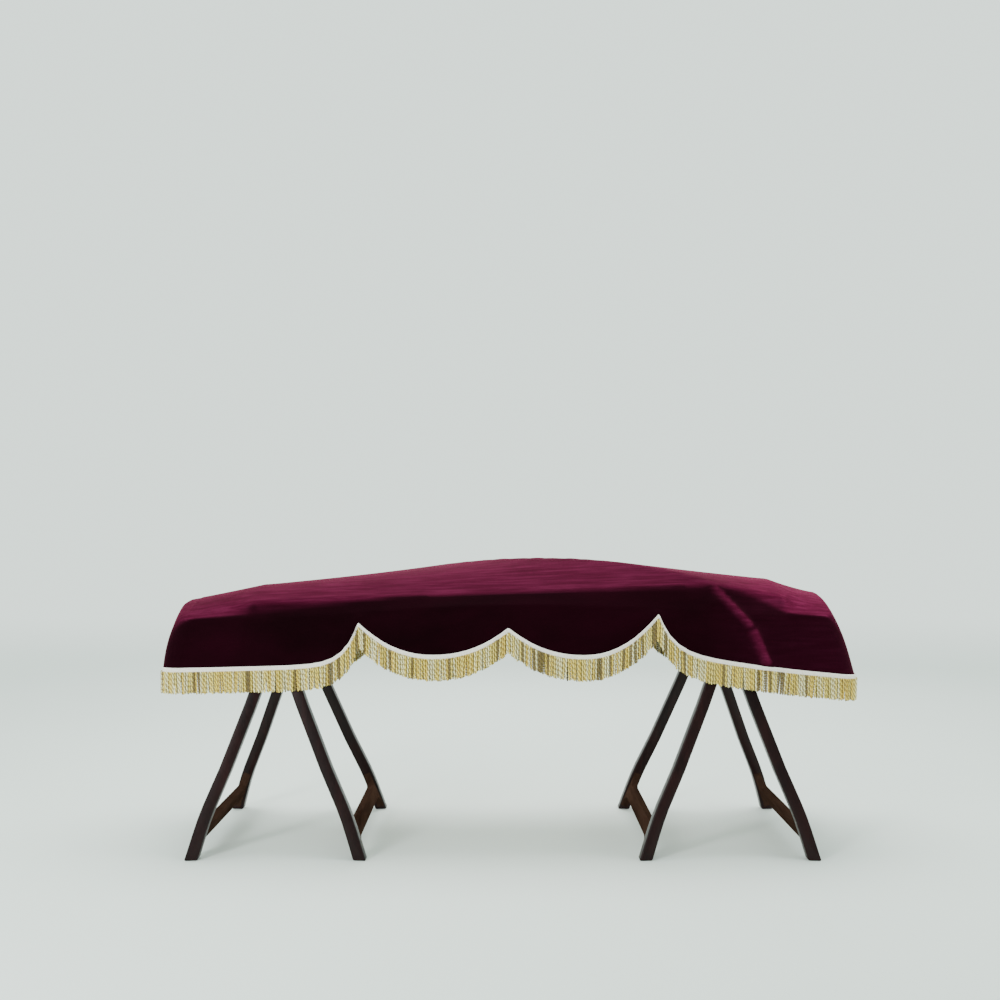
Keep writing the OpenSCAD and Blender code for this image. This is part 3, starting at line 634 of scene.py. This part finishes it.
def paint_velvet_light(cover):
    """Stores painted light at each point: the top, where the cloth faces up, is painted lighter than the
    skirts, and a little painted highlight runs along the fold.
    """
    mesh = cover.data
    at = np.empty(len(mesh.vertices) * 3, np.float32)
    up = np.empty(len(mesh.vertices) * 3, np.float32)
    mesh.vertices.foreach_get("co", at)
    mesh.vertices.foreach_get("normal", up)
    at, up = at.reshape(-1, 3), up.reshape(-1, 3)[:, 2]
    # The top painted lighter ends at the outer strings, and towards both ends at the instrument's edge.
    x, y = at[:, 0], at[:, 1]
    past = np.where(x > 0, np.clip((x - 0.53) / 0.19, 0, 1) ** 2, np.clip((-0.28 - x) / 0.54, 0, 1))
    shoulder = node_points("strings")[:, 1].max() + 0.006
    limit = shoulder + (half_width(x) - 0.001 - shoulder) * past
    flat = np.clip((limit - np.abs(y)) / 0.007 + 0.5, 0, 1) * np.clip((up - 0.35) / 0.3, 0, 1)
    flat = flat * flat * (3 - 2 * flat)
    # It is painted lighter again past the fold, towards the head.
    head = np.clip((x - 0.50) / 0.14, 0, 1)
    # A painted highlight along the fold's crest, where the ridge would catch the light.
    fold_highlight = 0.75 * fold_height(x, y, at[:, 2]) ** 3
    # Painted light: strong on the top, none on the skirts except towards the head and along the fold.
    painted_light = flat * (0.55 + 0.40 * head) + (1 - flat) * np.maximum(0.10 * head, fold_highlight)
    layer = mesh.color_attributes.new("painted_light", "FLOAT_COLOR", "POINT")
    layer.data.foreach_set("color", np.stack([painted_light, painted_light, painted_light, np.ones_like(painted_light)], 1).ravel())


def sheet_from_rings(name, grid, outer, inner):
    """A closed cloth of even thickness from its outer surface."""
    rows, n = grid.shape[:2]
    vertices = grid.reshape(-1, 3)
    faces = [(r * n + i, (r + 1) * n + i, (r + 1) * n + (i + 1) % n, r * n + (i + 1) % n)
             for r in range(rows - 1) for i in range(n)]
    piece = add_piece(name, vertices, faces, [outer, inner])
    mesh = bmesh.new()
    mesh.from_mesh(piece.data)
    bmesh.ops.remove_doubles(mesh, verts=mesh.verts, dist=2e-4)
    bmesh.ops.recalc_face_normals(mesh, faces=mesh.faces)
    mesh.faces.ensure_lookup_table()
    if max(mesh.faces, key=lambda f: f.calc_center_median().z).normal.z < 0:
        bmesh.ops.reverse_faces(mesh, faces=mesh.faces)
    mesh.to_mesh(piece.data)
    mesh.free()
    thick = piece.modifiers.new("thick", "SOLIDIFY")
    thick.thickness, thick.offset = CLOTH, -1
    thick.material_offset, thick.material_offset_rim = 1, 0
    apply_modifiers(piece)
    return piece


grid = crease(cover_rings())
cover = sheet_from_rings("cover", grid, MATERIALS["velvet"], MATERIALS["lining"])
paint_velvet_light(cover)
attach(cover, "cover")
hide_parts("cover_cloth")

# ---------------------------------------------------------------- braid and fringe

BRAID_H = 0.0125
BRAID_RISE = 0.0055     # how far the braid's upper edge stands above the cloth's hem
FRINGE_H = 0.058
FRINGE_TUCK = 0.0075    # how far the strands start above the braid's foot
ROW_OUT = (0.0012, 0.0042)      # the back and the front row's distance from the cloth
STRAND_STEP = 0.0029    # along the hem, from strand to strand
PLY_R = 0.00150         # radius of each of a strand's two plies
PLY_OFF = 0.00120       # from the strand's middle to a ply's
STRAND_LEVELS = 24
STRAND_SIDES = 5

hem = grid[-1]
step = np.roll(hem, -1, 0) - hem
flat_out = np.stack([step[:, 1], -step[:, 0]], 1)
flat_out /= np.linalg.norm(flat_out, axis=1, keepdims=True) + 1e-9
for _ in range(3):
    flat_out = (np.roll(flat_out, 1, 0) + 2 * flat_out + np.roll(flat_out, -1, 0)) / 4
flat_out /= np.linalg.norm(flat_out, axis=1, keepdims=True)


def around(values, s):
    """Interpolates values given at the hem's points to the places s, from 0 to 1 around it."""
    n = len(values)
    u = np.asarray(s) % 1 * n
    i = u.astype(int) % n
    f = (u - np.floor(u))[:, None]
    return values[i] * (1 - f) + values[(i + 1) % n] * f


def braid_piece():
    """A woven band over the hem: two raised cords with a flat zigzag between them."""
    count = AROUND * 2
    s = np.arange(count) / count
    at, out = around(hem, s), around(flat_out, s)
    profile = [(0.000, 0.0004), (0.001, 0.0022), (0.0035, 0.0020), (0.0045, 0.0012), (0.0085, 0.0012),
               (0.0095, 0.0020), (0.012, 0.0022), (0.013, 0.0004)]
    rows = []
    for down, off in profile:
        wave = 0.0003 * np.sin(s * count / 4 * math.pi * 2 + down * 900)
        rows.append(np.concatenate([at[:, :2] + out * (off + wave)[:, None],
                                    (at[:, 2] + BRAID_RISE - down)[:, None]], 1))
    for down, off in reversed(profile[1:-1]):
        rows.append(np.concatenate([at[:, :2] - out * 0.0004, (at[:, 2] + BRAID_RISE - down)[:, None]], 1))
    rows = np.array(rows)
    m = len(rows)
    faces = [(r * count + i, ((r + 1) % m) * count + i, ((r + 1) % m) * count + (i + 1) % count,
              r * count + (i + 1) % count) for r in range(m) for i in range(count)]
    return add_piece("braid", rows.reshape(-1, 3), faces, [MATERIALS["braid"]])


def strand_tones(count):
    """Cream, gold and olive tones, mixed strand by strand."""
    palette = np.array([(0.98, 0.82, 0.22), (0.88, 0.66, 0.10), (1.0, 0.95, 0.56), (0.22, 0.15, 0.03),
                        (0.96, 0.78, 0.15)])
    pick = rng.choice(len(palette), count, p=[0.26, 0.20, 0.30, 0.10, 0.14])
    return palette[pick] * rng.uniform(0.88, 1.06, (count, 1))


def clumps(count, reach):
    """Sideways leanings that neighbours share, so that strands gather and part."""
    raw = np.convolve(rng.normal(0, 1, count + 12), np.hanning(7) / 3, "same")[6:-6]
    return raw / (raw.std() + 1e-9) * reach


def fringe_piece(name, places):
    """Twisted two-ply strands hanging from the braid at the places around the hem."""
    at, out = around(hem, places), around(flat_out, places)
    count = len(places)
    t = np.linspace(0, 1, STRAND_LEVELS)
    swing = t ** 1.4
    # The twist closes to a rounded loop at the strand's end.
    close = np.sqrt(np.clip(1 - np.clip((t - 0.94) / 0.06, 0, 1) ** 2, 0, 1))
    length = FRINGE_H * rng.uniform(0.92, 1.0, count)
    turns = rng.uniform(3.9, 4.7, count) * 2 * math.pi
    ply = np.array([0, math.pi])
    angle = (rng.uniform(0, 2 * math.pi, count)[:, None, None] + turns[:, None, None] * t[None, None, :]
             + ply[None, :, None])
    row = np.where(np.arange(count) % 2 == 0, *ROW_OUT)[:, None, None]
    lean_out = np.abs(rng.normal(0, 0.0012, count))[:, None, None]
    away = row + PLY_OFF * close * np.cos(angle) + lean_out * swing
    lean_aside = (clumps(count, 0.0013) + rng.normal(0, 0.0005, count))[:, None, None]
    aside = PLY_OFF * close * np.sin(angle) + lean_aside * swing
    side = np.stack([-out[:, 1], out[:, 0]], 1)
    middle = np.empty((count, 2, STRAND_LEVELS, 3))
    for k in (0, 1):
        middle[..., k] = (at[:, None, None, k] + out[:, None, None, k] * away
                          + side[:, None, None, k] * aside)
    middle[..., 2] = (at[:, 2] - BRAID_H + FRINGE_TUCK)[:, None, None] - length[:, None, None] * t
    a = 2 * math.pi * np.arange(STRAND_SIDES) / STRAND_SIDES
    radius = PLY_R * np.where(close > 0.3, 1, 0.7)[:, None]
    ring = np.stack([radius * np.cos(a), radius * np.sin(a), np.zeros((STRAND_LEVELS, STRAND_SIDES))], 2)
    vertices = middle[..., None, :] + ring
    per_ply = STRAND_LEVELS * STRAND_SIDES
    level, k = np.divmod(np.arange((STRAND_LEVELS - 1) * STRAND_SIDES), STRAND_SIDES)
    p, q = level * STRAND_SIDES + k, level * STRAND_SIDES + (k + 1) % STRAND_SIDES
    tube = np.stack([p, p + STRAND_SIDES, q + STRAND_SIDES, q], 1)
    bases = np.arange(count * 2) * per_ply
    faces = (bases[:, None, None] + tube).reshape(-1, 4).tolist()
    ends = np.arange(STRAND_SIDES)
    faces += (bases[:, None] + ends).tolist()
    faces += (bases[:, None] + per_ply - 1 - ends).tolist()
    piece = add_piece(name, vertices.reshape(-1, 3), faces, [MATERIALS["fringe"]])
    # One ply is darker than the other, and the back row is darker than the front one, which is painted
    # shade for the row behind.
    plies = np.array([(1.0, 1.0, 1.0), (0.52, 0.44, 0.26)])[None, :, None, :]
    # Painted shade: strands in the back row are darkened to 0.30.
    tone_and_shade = strand_tones(count)[:, None, None, :] * plies * np.where(row == ROW_OUT[0], 0.30, 1.0)[..., None]
    tone_and_shade = np.broadcast_to(tone_and_shade, (count, 2, per_ply, 3)).reshape(-1, 3)
    layer = piece.data.color_attributes.new("tone_and_shade", "FLOAT_COLOR", "POINT")
    layer.data.foreach_set("color", np.concatenate([tone_and_shade, np.ones((len(tone_and_shade), 1))], 1).ravel())
    return piece


def hem_places():
    """Places around the hem, a strand's step apart in plan."""
    closed = np.vstack([hem, hem[:1]])
    travelled = np.concatenate([[0], np.cumsum(np.linalg.norm(np.diff(closed[:, :2], axis=0), axis=1))])
    total = travelled[-1]
    at = np.arange(0, total, STRAND_STEP)
    at = at + rng.uniform(-0.0006, 0.0006, len(at))
    return np.interp(at, travelled, np.arange(len(travelled)) / len(hem))


braid = braid_piece()
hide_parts("cover_braid")
places = hem_places()
parts = np.array_split(places, 6)
fringes = [fringe_piece(f"fringe_{k + 1}", part) for k, part in enumerate(parts)]
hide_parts("cover_fringe")
for piece, name in [(braid, "braid")] + [(f, "fringe") for f in fringes]:
    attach(piece, "cover")

# ---------------------------------------------------------------- stands

bodies = frame["record"]["behaviour"]["bodies"]
for node in [n for n in NODES if n.startswith(("head_inner", "head_outer", "tail_inner", "tail_outer"))]:
    if node.endswith("_legs"):
        made = rounded_copy(node, MATERIALS["stand_wood"], 0.0095, 4)
    elif node.endswith("_stretcher"):
        made = rounded_copy(node, MATERIALS["stretcher_wood"], 0.0055, 3)
    elif node.endswith("_rail"):
        made = rounded_copy(node, MATERIALS["stand_wood"], 0.002, 2)
    else:
        paint(node, MATERIALS["felt" if node.endswith("_pad") else "brass"])
        continue
    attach(made, next(body for body in bodies if node in bodies[body]))

# ---------------------------------------------------------------- the instrument

for node, material in {
        "soundboard": "paulownia", "back_board": "paulownia",
        "inner_ribs": "plain_wood", "pin_block": "plain_wood",
        "side_boards": "rosewood", "head_end_board": "rosewood", "tail_end_board": "rosewood",
        "head_nut": "rosewood", "tail_nut": "rosewood", "tail_plate": "rosewood",
        "string_guide_plate": "rosewood",
        "string_box_lid": "rosewood", "nut_strips": "bone", "tuning_pins": "steel",
        "string_eyelets": "brass"}.items():
    paint(node, MATERIALS[material])
for node in [n for n in NODES if n.startswith("bridge_")]:
    paint(node, MATERIALS["bridge_wood"])

# Every fifth string from the player is green.
paint("strings", MATERIALS["nylon_white"], MATERIALS["nylon_green"])
string_mesh = NODES["strings"].data
reach = node_points("strings")[:, 1].max()
for face in string_mesh.polygons:
    number = round((face.center.y + reach) / (2 * reach) * (STRINGS - 1)) + 1
    face.material_index = 1 if number % GREEN_EVERY == 0 else 0

# ---------------------------------------------------------------- floor

floor = add_piece("floor", [(-12, -8, 0), (12, -8, 0), (12, 14, 0), (-12, 14, 0)], [(0, 1, 2, 3)],
                  [floor_paint()], smooth=False)
floor.location.z = -0.0005      # a hair below the feet, so that no faces coincide
add_camera()
add_lights()
add_world()
